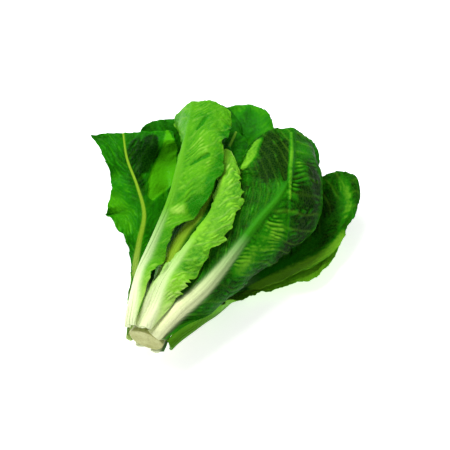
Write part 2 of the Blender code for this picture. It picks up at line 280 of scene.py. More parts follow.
# From the heart outwards
LEAVES = [
    Leaf("heart_leaf_1", [(0, 44, 29), (2, 80, 33), (4, 130, 36), (4, 172, 39)],
         (90, 90), NARROW, NARROW, (50, 50), (3, 1.2), (5, 2), 2, 4, 0.1, rows=13),
    Leaf("heart_leaf_2", [(1, 40, 15), (-3, 80, 20), (-6, 130, 24), (-6, 186, 32)],
         (270, 270), NARROW, NARROW, (45, 45), (3, 1.2), (5, 2), 2, 4, 0.4, rows=13),
    Leaf("heart_leaf_3", [(7, 36, 27), (20, 91, 36), (32, 150, 41), (40, 205, 45)],
         (60, 75), NARROW, MEDIUM, (40, 40), (3.5, 1.2), (6, 2), 2, 4, 0.7, rows=13),
    Leaf("heart_leaf_4", [(-1, 36, 32), (4, 100, 40), (6, 170, 46), (9, 238, 56)],
         (92, 92), NARROW, MEDIUM, (45, 45), (3.5, 1.3), (6, 2), 2, 4, 0.25, rows=15),
    Leaf("heart_leaf_5", [(10, 40, 35), (34, 90, 42), (56, 150, 50), (68, 212, 54)],
         (75, 80), NARROW, MEDIUM, (45, 50), (3.5, 1.3), (6, 2), 2, 4, 0.55, rows=15),
    Leaf("inner_left_leaf", [(-4, 24, 30), (-5, 45, 42), (-3, 67, 51), (-1, 92, 58), (3, 111, 61),
                             (9, 130, 62), (10, 162, 62), (1, 215, 56)],
         (105, 95), MEDIUM, (7, 14, 24, 30, 26, 22), (85, 80), (4, 1.4), (8, 3), 2, 4, 0.5),
    Leaf("front_right_leaf", [(10, 5, 34), (16, 16, 40), (24, 32, 46), (41, 59, 56), (55, 96, 65),
                              (67, 137, 71), (78, 170, 75), (79, 201, 75), (64, 257, 65)],
         (55, 78), (8, 16, 32, 46, 54, 50), (17, 32, 44, 60, 66, 46), (45, 80), (6.5, 1.6), (8.0, 1.6),
         4, 5.0, 0.3, tip_round=(0.09, 0.2)),
    Leaf("front_centre_leaf", [(-2, 5, 36), (-1, 19, 41), (1, 53, 50), (10, 84, 56), (22, 128, 66),
                               (19, 163, 72), (8, 208, 72)],
         (92, 115), (8, 10, 6, 6, 8, 8), (8, 22, 24, 27, 22, 14), (85, 30), (5, 1.5), (8, 2.4), 3.5,
         5.0, 0.65),
    Leaf("front_left_leaf", [(-14, 5, 29), (-17, 16, 35), (-24, 52, 47), (-22, 89, 61), (-21, 128, 70),
                             (-26, 169, 76), (-32, 204, 77), (-44, 254, 64)],
         (142, 115), (10, 10, 8, 6, 15, 50), (8, 17, 19, 43, 41, 45), (85, 35), (6.5, 1.6),
         (8.5, 2.2), 4, 5.0, 0.9, tip_round=(0.0, 0.1)),
    Leaf("under_leaf_2", [(-8, 42, 14), (-13, 72, 8), (-17, 142, 4), (-24, 209, 12), (-29, 281, 46)],
         (262, 268), SLIM_BASE, (5, 8, 12, 16, 18, 16), (5, 10), (3, 1.4), (6, 2.2), 1.5, phase=0.5),
    Leaf("under_leaf_3", [(2, 44, 13), (3, 76, 6), (4, 155, 5), (8, 227, 19), (13, 293, 50)],
         (275, 272), SLIM_BASE, SLIM_BASE, (20, 20), (3, 1.4), (6, 2.2), 1.5, 4.0, 0.2,
         tip_round=(0.13, 0.08)),
    Leaf("under_leaf_4", [(9, 42, 12), (23, 80, 4), (38, 161, 2), (58, 228, 13), (76, 274, 36)],
         (290, 280), SLIM_BASE, (5, 10, 20, 30, 34, 26), (28, 5), (3, 1.4), (6, 2.2), 2, phase=0.8,
         tip_round=(0.05, 0.12)),
    Leaf("under_leaf_5", [(7, 6, 4), (11, 32, 3), (31, 68, -4), (68, 112, -9), (99, 148, -7),
                          (115, 172, -3), (123, 197, 3), (130, 220, 12), (131, 251, 30)],
         (285, 278), (12, 7, 12, 25, 30, 19), (4, 12, 26, 36, 42, 38), (45, 5), (4, 1.5), (6, 2.2), 2.5,
         4.0, 0.35, tip_round=(0.08, 0.08)),
    Leaf("under_leaf_1", [(-18, 6, 12), (-31, 42, 4), (-43, 78, 2), (-51, 110, 3), (-58, 142, 6),
                          (-76, 168, 12), (-97, 192, 19), (-112, 219, 28)],
         (212, 262), (4, 13, 22, 38, 58, 56), (7, 5, 8, 40, 23, 33), (10, 10), (4, 1.3), (4.5, 1.2), 3,
         roll=(40, 0), tip_round=(0.03, 0.0)),
    Leaf("under_leaf_0", [(-7, 6, 4), (-24, 50, -6), (-38, 97, -14), (-49, 149, -15), (-59, 198, 5),
                          (-70, 252, 30)],
         (250, 268), (4, 9, 20, 30, 34, 26), (4, 8, 12, 22, 32, 30), (0, 15), (4, 1.5), (6, 2.2), 2,
         4.0, 0.6, tip_round=(0.05, 0.05)),
    Leaf("under_leaf_6", [(24.4, 5, 22), (30.5, 18, 22), (40, 37, 17), (50, 63, 5), (60, 95, -8),
                          (77, 127, -13), (102, 163, -12), (133, 200, -2)],
         (362, 280), (12, 20, 14, 27, 42, 40), (7, 13, 24, 37, 37, 28), (25, 5), (4, 1.6), (8, 2.2), 1.5,
         5.0, 0.15, tip_round=(0.13, 0.12)),
]

NIGHT_GREEN = (0.0006, 0.022, 0.0002)
DEEP_GREEN = (0.0020, 0.060, 0.0003)
LEAF_GREEN = (0.012, 0.200, 0.0010)
FRESH_GREEN = (0.065, 0.380, 0.0025)
LIGHT_GREEN = (0.200, 0.540, 0.020)
PALE_GREEN = (0.460, 0.700, 0.170)
OLIVE_RIB = (0.250, 0.460, 0.020)
OLIVE_BACK = (0.075, 0.260, 0.003)
OLIVE_FLESH = (0.36, 0.38, 0.07)
PALE_FLESH = (0.62, 0.66, 0.27)
BROWN_FLESH = (0.25, 0.20, 0.05)

DARK = (NIGHT_GREEN, LEAF_GREEN, FRESH_GREEN)
MIDDLE = (DEEP_GREEN, FRESH_GREEN, LIGHT_GREEN)
LIGHT = (LEAF_GREEN, LIGHT_GREEN, PALE_GREEN)

# Marks are (tone, height, softness, [(along, sideways, half-width), ...]); some tones are painted shade
# or painted light, as noted at each
LOOKS = {
    "heart_leaf_1": Look(LIGHT, 0.4, mesh=(110, 50)),
    "heart_leaf_2": Look(LIGHT, 0.4, mesh=(110, 50)),
    "heart_leaf_3": Look(MIDDLE, 0.4, mesh=(110, 50)),
    "heart_leaf_4": Look(DARK, 0.45, mesh=(110, 50)),
    "heart_leaf_5": Look(DARK, 0.35, mesh=(110, 50)),
    "inner_left_leaf": Look(DARK, 0.3, rib_base=OLIVE_RIB, rib_tip=OLIVE_RIB, mesh=(190, 80)),
    "front_right_leaf": Look(
        (NIGHT_GREEN, LEAF_GREEN, LIGHT_GREEN), 0.30,
        rib_base=(0.92, 0.99, 0.54), rib_tip=(0.03, 0.24, 0.004), rib_end=0.78, mesh=(330, 118),
        pleat=(0.35, 1.0), spacing=5.5, slope=(1.9, 0.45), quilt=1.0, quilt_size=5.5,
        marks=[
            # a raised ridge where the rib ends, with a painted highlight along its crest
            (0.45, 1.8, 0.9, [(266, -3, 1.1), (243, -2, 1.2), (216, -2, 1.3), (200, 3, 1.0),
                              (187, 10, 0.8)]),
            (0.20, 1.2, 0.9, [(187, 10, 1.0), (177, 18, 0.9), (159, 35, 0.7)]),
            (0.60, 1.5, 0.35, [(264, -37, 6), (242, -44, 7), (223, -47, 4), (208, -48, 2)]),
            # a crease beside that ridge, darkened with painted shade
            (-0.55, -1.2, 0.7, [(252, -10, 3.5), (222, -8, 4.5), (203, -3, 2.5)]),
            (-0.30, 0.0, 0.9, [(258, -24, 9), (240, -22, 11), (205, -24, 11)]),
            (0.25, 0.0, 0.7, [(226, 10, 6), (214, 18, 6)]),
            (-0.30, -0.8, 0.6, [(204, 18, 6), (200, 32, 4)]),
            (0.35, 0.0, 0.9, [(100, 14, 6), (125, 16, 9), (146, 24, 12), (165, 18, 9)]),
            # painted shade where the blade turns down, away from the light, beyond the ridge
            (-0.30, 0.0, 0.9, [(160, 52, 12), (190, 40, 14), (225, 25, 14)]),
            (0.20, 0.0, 0.9, [(250, 12, 9), (240, 34, 6)]),
            (-0.20, 0.0, 0.9, [(110, 36, 10), (142, 54, 10)]),
        ]),
    "front_centre_leaf": Look(
        LIGHT, 0.34, rib_base=(0.80, 0.90, 0.50), rib_tip=LIGHT_GREEN, rib_end=0.6, pale_base=0.9,
        mesh=(270, 96), pleat=(0.3, 0.35), quilt=1.3, quilt_size=5.2, lobes=3.0, teeth=5.0, tooth=12.0),
    "front_left_leaf": Look(
        (LEAF_GREEN, (0.09, 0.36, 0.005), (0.34, 0.62, 0.08)), 0.33,
        rib_base=(0.80, 0.90, 0.52), rib_tip=(0.10, 0.36, 0.010), rib_end=0.85, pale_base=0.9,
        mesh=(330, 112), pleat=(0.2, 0.6), slope=(0.9, 0.9), quilt=0.9, quilt_size=5.5, teeth=1.2,
        marks=[
            # a dent darkened with painted shade, as a hole among the curls
            (-0.50, -1.5, 0.5, [(132, 24, 7), (136, 33, 8)]),
            (0.35, 1.0, 0.6, [(124, 8, 4), (128, 17, 4)]),
            # these two dent creases and paint shade into them
            (-0.55, -1.5, 0.5, [(187, 27, 2.4), (180, 20, 2.2), (172, 12, 1.0)]),
            (-0.60, -1.5, 0.5, [(237, 17, 1.4), (222, 13, 2.2), (214, 10, 1.0)]),
            # these two paint shade under the turned-down margin
            (-0.45, 0.0, 0.5, [(234, 42, 5), (218, 40, 6)]),
            (-0.35, 0.0, 0.7, [(190, 40, 6), (165, 41, 8), (150, 38, 6)]),
            (0.25, 0.0, 0.9, [(205, 22, 8), (165, 20, 8)]),
        ]),
    "under_leaf_0": Look(
        DARK, 0.30, rib_tip=LEAF_GREEN, rib_end=0.5,
        marks=[(-0.3, 0.0, 0.6, [(60, -10, 35), (120, -10, 35), (195, -10, 30)])]),
    "under_leaf_1": Look(
        DARK, 0.42, rib_base=(0.40, 0.58, 0.15), rib_tip=OLIVE_RIB, mesh=(200, 96),
        quilt=1.0, quilt_size=6.0, lobes=3.0, gloss=0.24,
        marks=[
            # a raised strip painted light, as a face turned up to the lamp
            (0.90, 1.5, 0.10, [(238, -49, 3), (212, -49, 10), (191, -38, 13), (176, -22, 9),
                               (163, -12, 4)]),
            # a painted highlight
            (0.45, 0.0, 0.6, [(170, -17, 4), (163, -11, 3)]),
            # these two paint shade along the edges of the raised strip
            (-0.65, -1.0, 0.5, [(228, -30, 7), (213, -26, 9), (194, -14, 6)]),
            (-0.30, 0.0, 0.8, [(222, -12, 9), (190, -5, 6), (168, -4, 4)]),
            (0.45, 0.0, 1.0, [(128, 18, 12), (160, 30, 14)]),
            (0.25, 0.3, 0.8, [(176, 12, 4), (192, 18, 5)]),
        ]),
    "under_leaf_2": Look(DARK, 0.3, rib_tip=LEAF_GREEN, rib_end=0.6),
    "under_leaf_3": Look(
        DARK, 0.62, rib_tip=LEAF_GREEN, rib_end=0.6, mesh=(150, 76),
        # the mark paints shade in the hollow of the hooded tip
        marks=[(-0.3, 0.0, 1.0, [(240, 4, 8), (225, 4, 12)])]),
    "under_leaf_4": Look(DARK, 0.3, rib_tip=LEAF_GREEN, rib_end=0.6),
    "under_leaf_5": Look(
        (NIGHT_GREEN, LEAF_GREEN, LIGHT_GREEN), 0.31, rib_tip=LEAF_GREEN, rib_end=0.7, mesh=(180, 76),
        quilt=1.0,
        marks=[
            (0.35, 0.5, 0.8, [(282, 6, 5), (262, -8, 4), (235, -16, 4)]),
            # a lighter band by the margin: its own paler colour, brightened further as painted light
            # where the front right leaf shades it
            (0.75, 0.8, 0.6, [(235, -26, 6), (220, -25, 7), (202, -21, 8), (182, -17, 9), (147, -12, 9),
                              (128, -9, 7)]),
            (-0.2, 0.0, 1.0, [(255, 14, 8), (225, 8, 10)]),
        ]),
    "under_leaf_6": Look(
        (DEEP_GREEN, (0.110, 0.400, 0.005), LIGHT_GREEN), 0.60, rib_base=OLIVE_BACK, rib_tip=OLIVE_BACK,
        mesh=(180, 76),
        marks=[(0.55, 0.0, 0.8, [(118, -6, 8), (155, -20, 12), (205, -28, 13), (232, -22, 8)])]),
}


# Shape

def smooth_step(x, low, high):
    t = np.clip((x - low) / (high - low), 0, 1)
    return t * t * (3 - 2 * t)


def unit(vectors):
    return vectors / np.linalg.norm(vectors, axis=-1, keepdims=True)


def through(values, at):
    """A Catmull-Rom curve through evenly spaced values, read at shares of the way along."""
    v = np.array(values, float)
    v = np.concatenate([[2 * v[0] - v[1]], v, [2 * v[-1] - v[-2]]])
    place = np.asarray(at) * (len(values) - 1)
    k = np.clip(place.astype(int), 0, len(values) - 2)
    t = (place - k).reshape(place.shape + (1,) * (v.ndim - 1))
    a, b, c, d = (v[k + n] for n in range(4))
    bend = (2 * a - 5 * b + 4 * c - d) * t**2 + (3 * b - a - 3 * c + d) * t**3
    return 0.5 * (2 * b + (c - a) * t + bend)


def even_curve(points):
    """Points spread evenly along a smooth curve through the given ones, and the length of that curve."""
    dense = through(points, np.linspace(0, 1, SPINE_STEPS * len(points)))
    run = np.concatenate([[0], np.cumsum(np.linalg.norm(np.diff(dense, axis=0), axis=1))])
    even = np.linspace(0, run[-1], SPINE_POINTS)
    return np.stack([np.interp(even, run, dense[:, k]) for k in range(3)], axis=1), run[-1]


def section(v, width, turn):
    """How far each row runs sideways and inwards by |v|, its direction turning as it leaves the rib."""
    middle = (np.arange(SECTION_STEPS) + 0.5) / SECTION_STEPS
    angle = turn(middle)
    start = np.zeros((len(angle), 1))
    out = np.hstack([start, np.cumsum(np.cos(angle), axis=1)]) / SECTION_STEPS * width
    inward = np.hstack([start, np.cumsum(np.sin(angle), axis=1)]) / SECTION_STEPS * width
    place = np.abs(v) * SECTION_STEPS
    k = np.clip(place.astype(int), 0, SECTION_STEPS - 1)
    t = place - k
    return (1 - t) * out[:, k] + t * out[:, k + 1], (1 - t) * inward[:, k] + t * inward[:, k + 1]


def outline(look, along, half, seed):
    """How far an edge stands out of its smooth outline: broad lobes and small hooks along it."""
    half = half + 0 * along
    lobes = wander(along / LOBE_LONG, half, seed) + 0.5 * wander(along / LOBE_SHORT, half, seed + 1)
    place = along / look.tooth + TOOTH_DRIFT * wander(along / TOOTH_DRIFT_LONG, half, seed + 2)
    hook = (place - np.floor(place)) ** 2 - HOOK_MIDDLE
    toothed = smooth_step(wander(along / TOOTHED_STRETCH, half, seed + 3), 0.2, 0.7)
    return look.lobes * (lobes - LOBE_MIDDLE) + look.teeth * hook * toothed


def leaf_sheet(leaf, rows, columns, look=None):
    """The inner face of the leaf and its thickness, a row of points for each share of its length.

    With a look, its edge is lobed and toothed too.
    """
    spine, length = even_curve(leaf.midrib)
    along = unit(np.gradient(spine, axis=0))
    share = np.linspace(0, 1, len(spine))
    facing = np.radians(leaf.back[0] + (leaf.back[1] - leaf.back[0]) * smooth_step(share, 0, TURNED_BY))
    back = np.stack([np.cos(facing), 0 * facing, np.sin(facing)], axis=1)
    back = unit(back - along * (back * along).sum(axis=1, keepdims=True))
    side = np.cross(along, back)

    def at(table, u):
        return np.stack([np.interp(u, share, table[:, k]) for k in range(3)], axis=-1)

    u = rows[:, None]
    opened = smooth_step(u, 0, OPENED_BY)
    sheet = np.zeros((len(rows), len(columns), 3))
    thick = np.zeros((len(rows), len(columns)))
    sideways = np.zeros((len(rows), len(columns)))
    for half, sign in enumerate((-1, 1)):
        chosen = columns * sign >= 0
        v = np.abs(columns[chosen])
        width = through((leaf.left, leaf.right)[half], rows)[:, None]
        curl = BASE_WRAP * (1 - opened) + math.radians(leaf.curls[half]) * opened
        roll = math.radians(leaf.roll[half]) * opened
        out, inward = section(
            v, width, lambda v: curl * v + roll * smooth_step(v, ROLLED_FROM, ROLLED_BY))
        reach = u - leaf.tip_round[half] * u**ROUND_NEAR_TIP * v**ROUND_NEAR_EDGE
        wave = np.sin(2 * math.pi * (leaf.waves * u + leaf.phase + HALVES_APART * half))
        ripple = np.sin(2 * math.pi * (RIPPLE_PACE * leaf.waves * u + 2 * leaf.phase))
        ruffled = v**RUFFLE_NEAR_EDGE * smooth_step(u, RUFFLED_FROM, RUFFLED_BY)
        lift = leaf.ruffle * (wave + RIPPLE_HEIGHT * ripple) * ruffled
        if look:
            edge = outline(look, u * length, half, leaf.phase * 7) * smooth_step(u, 0.05, 0.2)
            grown = 1 + edge / width * v**GROWN_NEAR_EDGE
            out, inward = out * grown, inward * grown
            tip = outline(look, sign * v * width[-1], 2, leaf.phase * 7)
            tip = tip - LOBE_MIDDLE * look.lobes - HOOK_REACH * look.teeth
            reach = reach + tip * u**GROWN_NEAR_TIP / length
        place = at(spine, np.clip(reach, 0, 1)) + sign * out[..., None] * at(side, reach)
        sheet[:, chosen] = place + (lift - inward)[..., None] * at(back, reach)
        rib = leaf.rib[0] + (leaf.rib[1] - leaf.rib[0]) * u**RIB_TAPER
        rib_width = leaf.rib_width[0] + (leaf.rib_width[1] - leaf.rib_width[0]) * u**RIB_TAPER
        thick[:, chosen] = BLADE + (rib - BLADE) * np.exp(-((v * width / rib_width) ** 2))
        sideways[:, chosen] = sign * v * width
    return sheet, thick, sideways, length


def sheet_normals(sheet):
    return unit(np.cross(np.gradient(sheet, axis=1), np.gradient(sheet, axis=0)))


def heart_z(x, y):
    """Height of the heart surface: rising to the tips, and tilted up on the right near the cut end."""
    level = HEART_Z_AT_BUTT + (HEART_Z_AT_TIPS - HEART_Z_AT_BUTT) * smooth_step(y, 0, HEART_OPENS_BY)
    tilted = np.maximum(x - HEART_TILTED_FROM_X, 0) * (1 - smooth_step(y, 0, HEART_TILTED_TO_Y))
    return level + HEART_TILT * tilted


def keep_side(sheet, up):
    """Eases whatever would cross the heart surface back to the leaf's own side of it."""
    x, y, z = np.moveaxis(sheet, -1, 0)
    heart = heart_z(x, y)
    kept = HEART_GAP + HEART_EASE * np.logaddexp(0, up * (z - heart) / HEART_EASE)
    return np.stack([x, y, heart + up * kept], axis=-1)


def refine(grid):
    """Points spread evenly over the two flat triangles of each cell of a sheet."""
    t = np.linspace(0, 1, SAMPLES_PER_CELL)
    u, v = (a.reshape(-1, 1, 1) for a in np.meshgrid(t, t, indexing="ij"))
    corners = (grid[:-1, :-1], grid[:-1, 1:], grid[1:, :-1], grid[1:, 1:])
    near, right, far, across = (c.reshape(1, -1, 3) for c in corners)
    one = near + v * (right - near) + u * (across - right)
    other = near + u * (far - near) + v * (across - far)
    return np.where(v > u, one, other)


class Pile:
    """How far up, or down, the leaves laid so far reach over each cell of the table."""

    def __init__(self, up, cell):
        self.up = up
        self.cell = cell
        count = int(GRID_SPAN / cell)
        self.reach = np.full((count, count), -np.inf)

    def cells(self, points):
        return tuple(np.round((points[..., k] - GRID_FROM) / self.cell).astype(int) for k in (0, 1))

    def add(self, points):
        i, j = self.cells(points)
        for di in (-1, 0, 1):
            for dj in (-1, 0, 1):
                np.maximum.at(self.reach, (i + di, j + dj), self.up * points[..., 2])

    def lift(self, points, clearance):
        """How far each point has to move to clear the pile."""
        return np.maximum(self.reach[self.cells(points)] + clearance - self.up * points[..., 2], 0)


def neighbours(grid):
    padded = np.pad(grid, 1, mode="edge")
    rows, columns = grid.shape
    return np.stack([padded[i:i + rows, j:j + columns] for i in range(3) for j in range(3)])


def soften(grid, times):
    weights = np.array([1, 2, 1, 2, 4, 2, 1, 2, 1]).reshape(-1, 1, 1) / 16
    for _ in range(times):
        grid = (neighbours(grid) * weights).sum(axis=0)
    return grid


def lay(sheet, thick, pile):
    """Moves a sheet out until it clears the pile everywhere, then adds it to the pile."""
    for _ in range(LAYING_ROUNDS):
        lifts = pile.lift(refine(sheet), CLEARANCE)
        need = lifts.max(axis=0).reshape(sheet.shape[0] - 1, sheet.shape[1] - 1)
        if need.max() <= LAID_WITHIN:
            break
        move = neighbours(np.pad(need, ((0, 1), (0, 1)), mode="edge")).max(axis=0)
        move = np.maximum(move, soften(move, 2))
        sheet = sheet + move[..., None] * (0, 0, pile.up)
    pile.add(refine(sheet))
    pile.add(refine(sheet + sheet_normals(sheet) * thick[..., None]))
    return sheet


def lay_fine(sheet, thick, pile):
    """Eases a finished sheet clear of the finished leaves under it."""
    for _ in range(FINE_ROUNDS):
        need = pile.lift(sheet, FINE_CLEARANCE)
        if need.max() <= LAID_WITHIN:
            break
        for _ in range(FINE_SPREAD):
            need = neighbours(need).max(axis=0)
        sheet = sheet + soften(need, FINE_SOFTENED)[..., None] * (0, 0, pile.up)
    pile.add(sheet)
    pile.add(sheet + sheet_normals(sheet) * thick[..., None])
    return sheet


# Growth of the surface

def hashed(i, j, seed):
    """A repeatable number from 0 to 1 for each cell of a grid."""
    return np.modf(np.abs(np.sin(i * 127.1 + j * 311.7 + seed * 74.7) * 43758.5453))[0]


def wander(x, y, seed):
    """Soft noise from 0 to 1, its bumps one unit across."""
    i, j = np.floor(x), np.floor(y)
    s, t = (w * w * (3 - 2 * w) for w in (x - i, y - j))
    corner = [[hashed(i + a, j + b, seed) for b in (0, 1)] for a in (0, 1)]
    near = corner[0][0] * (1 - t) + corner[0][1] * t
    far = corner[1][0] * (1 - t) + corner[1][1] * t
    return near * (1 - s) + far * s


def blisters(x, y, seed):
    """Rounded pillows between the veins, one unit across: 0 on a vein, up to 1 on top of a pillow."""
    i, j = np.floor(x), np.floor(y)
    first, second = np.full(x.shape, 9.0), np.full(x.shape, 9.0)
    height = np.zeros(x.shape)
    for a in (-1, 0, 1):
        for b in (-1, 0, 1):
            cx, cy = i + a, j + b
            away = np.hypot(cx + hashed(cx, cy, seed) - x, cy + hashed(cx, cy, seed + 1) - y)
            nearer = away < first
            second = np.where(nearer, first, np.minimum(second, away))
            height = np.where(nearer, LOW_BLISTER + (1 - LOW_BLISTER) * hashed(cx, cy, seed + 2), height)
            first = np.where(nearer, away, first)
    return height * smooth_step(second - first, 0.0, BLISTER_EDGE)


def shade(marks, l, s):
    """The tone and the height that the listed marks give each point of a leaf."""
    tone, height = np.zeros(l.shape), np.zeros(l.shape)
    for lighter, higher, soft, path in marks:
        cover = np.zeros(l.shape)
        for (l0, s0, w0), (l1, s1, w1) in zip(path, path[1:] or path):
            run = max((l1 - l0) ** 2 + (s1 - s0) ** 2, 1e-6)
            t = np.clip(((l - l0) * (l1 - l0) + (s - s0) * (s1 - s0)) / run, 0, 1)
            away = np.hypot(l - l0 - t * (l1 - l0), s - s0 - t * (s1 - s0)) / (w0 + t * (w1 - w0))
            cover = np.maximum(cover, 1 - smooth_step(away, 1 - soft, 1 + soft))
        tone = tone + lighter * cover
        height = height + higher * cover
    return tone, height


def patchy(l, s, seed, long, wide):
    """Soft noise from 0 to 1 over a leaf, its patches so long and so wide in millimetres."""
    return wander(l / long, s / wide, seed)


def side_veins(swayed, l, s, v, half, seed):
    """Thin veins that leave the rib evenly, in turn on the left and the right, and fade in patches."""
    place = swayed / VEIN_EVERY + 0.5 * half
    away = np.abs(place - np.round(place)) * VEIN_EVERY / VEIN_SLANT
    vein = np.exp(-((away / (VEIN_WIDTH + VEIN_WIDER * (1 - np.abs(v)))) ** 2))
    strength = smooth_step(patchy(l, s, seed + 15, long=22, wide=22), 0.3, 0.7)
    return vein * (VEIN_FAINTEST + (1 - VEIN_FAINTEST) * strength)


def pleats(look, path, l, s, v, half, seed):
    """Sharp folds along the veins, in patches, flatter towards the edge."""
    place = path / look.spacing
    fold = 1 - np.abs(2 * (place - np.floor(place)) - 1) - 0.5
    faded = 1 - PLEAT_LOSS * smooth_step(np.abs(v), 0.4, 0.75)
    patches = smooth_step(patchy(l, s, seed + 7, long=16, wide=12), 0.3, 0.8)
    return fold * np.array(look.pleat)[half] * PLEAT_HEIGHT * faded * patches


def pillows(look, path, l, s, seed):
    """Blisters between the veins, stronger in some parts of the blade than in others."""
    across = (s + 2 * patchy(l, s, seed + 4, long=6, wide=6)) / (BLISTER_WIDER * look.quilt_size)
    pillow = blisters(path / look.quilt_size, across, seed + 5) - BLISTER_MIDDLE
    amount = BLISTER_LEAST + BLISTER_MORE * patchy(l, s, seed + 8, long=17, wide=17)
    return pillow * look.quilt * amount


def frill(l, s, u, v, half, seed):
    """Tight waves along the margin and across the tip."""
    wave = 2 * math.pi * (l / FRILL_WAVE + 1.5 * patchy(l, v, seed + 9, long=25, wide=1) + 0.3 * half)
    margin = np.sin(wave) + FRILL_RIPPLE * np.sin(FRILL_RIPPLE_PACE * wave)
    margin = FRILL * margin * patchy(l, v, seed + 10, long=30, wide=1)
    tip = np.sin(2 * math.pi * (s / TIP_WAVE + 0.8 * wander(s / 20, l / 40, seed + 11)))
    margin = margin * np.abs(v) ** GROWN_NEAR_EDGE * smooth_step(u, 0.08, 0.3)
    return margin + TIP_FRILL * FRILL * tip * u**FRILL_NEAR_TIP


def grow(leaf, look, rows, columns, sideways, length, seed):
    """How far the surface stands out along the leaf's back, and what the paint needs to know of it."""
    u, v = rows[:, None], columns[None, :]
    s = sideways
    l = u * length + 0 * s
    half = (s > 0).astype(int)
    rib_width = leaf.rib_width[0] + (leaf.rib_width[1] - leaf.rib_width[0]) * u**RIB_TAPER
    rib = np.exp(-np.abs(s / (rib_width * (RIB_FACE - RIB_FACE_TAPER * u))) ** 3)
    blade = smooth_step(np.abs(s), BLADE_FROM * rib_width, BLADE_BY * rib_width + BLADE_MARGIN)
    open_blade = blade * smooth_step(u, 0.04, 0.2)

    bent = np.array(look.slope)[half] * np.abs(s) + VEIN_BEND * s**2
    swayed = l + BROAD_SWAY * patchy(l, s, seed, long=40, wide=30) - bent
    swayed = swayed + SMALL_SWAY * patchy(l, s, seed + 14, long=16, wide=16)
    path = swayed + PATH_SWAY * patchy(l, s, seed + 1, long=14, wide=10)
    path = path + PATH_QUIVER * patchy(l, s, seed + 3, long=5, wide=5)

    vein = side_veins(swayed, l, s, v, half, seed) * blade
    pleat = pleats(look, path, l, s, v, half, seed)
    pillow = pillows(look, path, l, s, seed)
    tone, raised = shade(look.marks, l, s)
    drift = 0.6 * patchy(l, s, seed + 13, long=12, wide=4)
    furrow = FURROW * np.sin(2 * math.pi * s / FURROW_EVERY + drift) * rib
    height = open_blade * (pleat + pillow + VEIN_HEIGHT * vein) + frill(l, s, u, v, half, seed)
    return height + raised + furrow, {
        "rib": rib * (1 - smooth_step(u + 0 * s, look.rib_end - 0.2, look.rib_end)),
        "vein": vein,
        # painted light on the crests of pleats and blisters, painted shade in their hollows
        "swelling": open_blade * RELIEF_SHADING * (pleat + pillow),
        "tone": tone,
        "edge": smooth_step(
            np.maximum(np.abs(v), 1 + (u - 1) * length / TIP_TONED_OVER), EDGE_TONED_FROM, 1),
        "along": u + 0 * v,
        "over_blade": np.stack([s, l, np.full(s.shape, 10.0 * seed)], axis=-1),
    }


# Materials

class Wire:
    """A shader value or colour that can be used in sums."""

    def __init__(self, paint, socket):
        self.paint = paint
        self.socket = socket

    def _sum(self, operation, a, b):
        return self.paint.node("ShaderNodeMath", {"operation": operation}, {0: a, 1: b})

    def __add__(self, other):
        return self._sum("ADD", self, other)

    __radd__ = __add__

    def __sub__(self, other):
        return self._sum("SUBTRACT", self, other)

    def __rsub__(self, other):
        return self._sum("SUBTRACT", other, self)

    def __mul__(self, other):
        return self._sum("MULTIPLY", self, other)

    __rmul__ = __mul__


class Paint:
    """The node tree of one material."""

    def __init__(self, name):
        self.material = bpy.data.materials.new(name)
        self.material.use_nodes = True
        self.tree = self.material.node_tree
        self.shader = self.tree.nodes["Principled BSDF"]

    def put(self, socket, value):
        if isinstance(value, Wire):
            self.tree.links.new(value.socket, socket)
        elif isinstance(value, tuple) and len(value) == 3 and socket.type == "RGBA":
            socket.default_value = (*value, 1)
        else:
            socket.default_value = value

    def node(self, kind, settings=None, sockets=None, out=0):
        made = self.tree.nodes.new(kind)
        for name, value in (settings or {}).items():
            setattr(made, name, value)
        for name, value in (sockets or {}).items():
            self.put(made.inputs[name], value)
        return Wire(self, made.outputs[out])

    def attribute(self, name, out="Fac"):
        return self.node("ShaderNodeAttribute", {"attribute_name": name}, out=out)

    def mix(self, share, low, high):
        made = self.tree.nodes.new("ShaderNodeMix")
        made.data_type = "RGBA"
        self.put(made.inputs["Factor"], share)
        self.put(made.inputs[MIX_LOW], low)
        self.put(made.inputs[MIX_HIGH], high)
        return Wire(self, made.outputs[MIX_OUT])

    def clamp(self, value, low=0.0, high=1.0):
        return self.node("ShaderNodeClamp", {}, {"Value": value, "Min": low, "Max": high})

    def noise(self, at, scale, detail):
        return self.node("ShaderNodeTexNoise", {}, {"Vector": at, "Scale": scale, "Detail": detail})

    def finish(self, colour, roughness, height, distance):
        self.put(self.shader.inputs["Base Color"], colour)
        self.put(self.shader.inputs["Roughness"], roughness)
        bump = self.node("ShaderNodeBump", {}, {"Height": height, "Strength": 1.0, "Distance": distance})
        self.put(self.shader.inputs["Normal"], bump)
        return self.material


